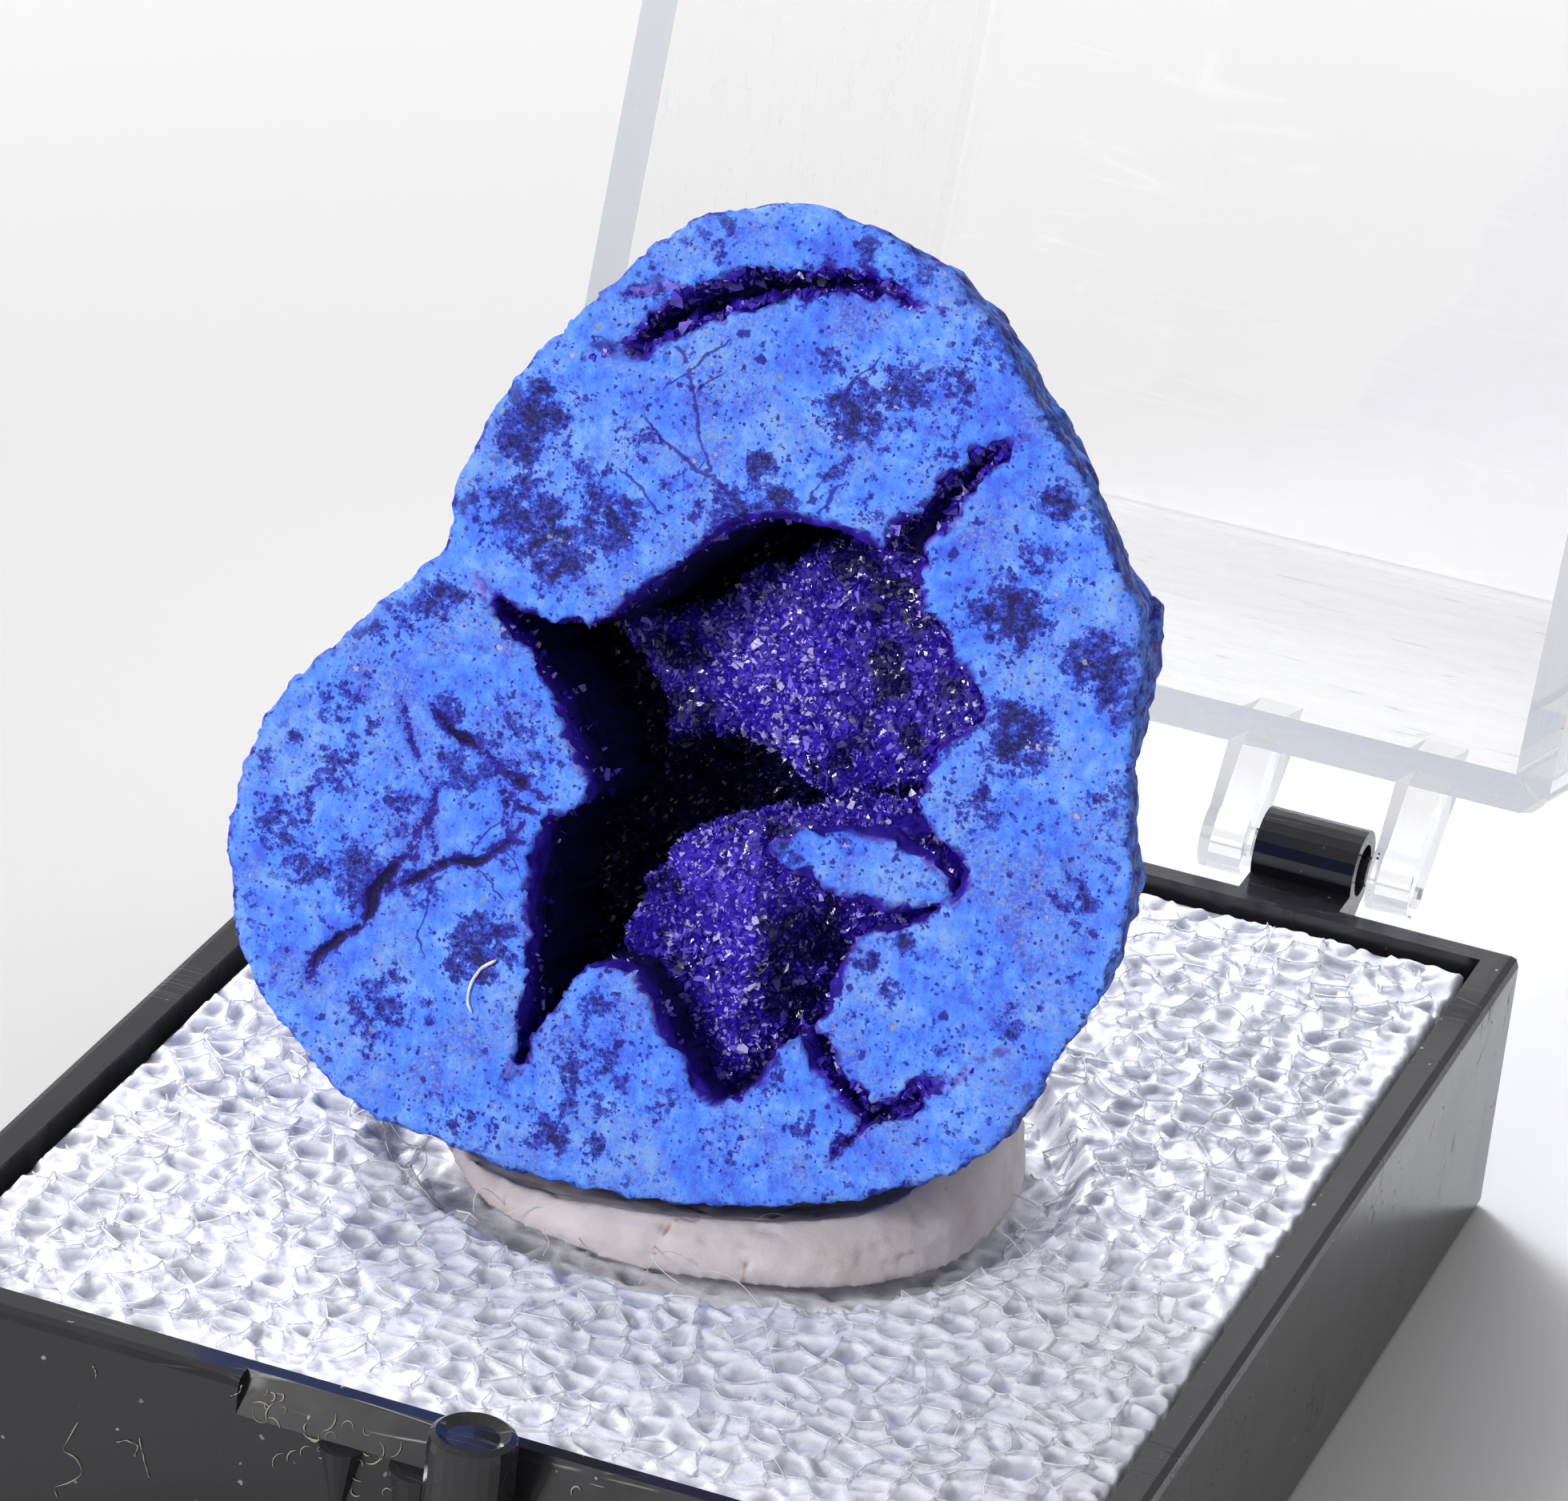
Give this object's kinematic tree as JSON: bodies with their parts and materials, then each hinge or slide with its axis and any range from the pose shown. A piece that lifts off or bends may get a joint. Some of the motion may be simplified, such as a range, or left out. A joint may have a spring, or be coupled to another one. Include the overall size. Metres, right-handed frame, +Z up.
{
  "type": "azurite specimen",
  "caption": "Half nodule of azurite, cut flat with a crystal-lined hollow, set in putty on foam in a small display box with a hinged clear lid.",
  "frame": {"origin": "centre of the box base's underside", "axes": "+Z up, front of the box towards -Y, +X to the right seen from the front"},
  "size_m": [0.03, 0.0805, 0.0446],
  "materials": {
    "azurite": "matte, sawn face with dark speckles, rough skin",
    "crystal": "sparkling small crystals",
    "putty": "dull, pressed by hand",
    "foam": "white open-cell foam with shiny cell walls",
    "black_plastic": "glossy moulded black",
    "clear_plastic": "clear polished moulding"
  },
  "bodies": {
    "box": {"box_base": "black_plastic", "foam_block": "foam", "mounting_putty": "putty", "azurite_nodule": "azurite", "crystal_crust": "crystal"},
    "lid": {"box_lid": "clear_plastic"}
  },
  "joints": [
    {"name": "lid_hinge", "type": "hinge", "parent": "box", "child": "lid", "pos_m": [0, 0.0203, 0.00785], "axis": [1, 0, 0], "range_deg": [0, 105]}
  ]
}
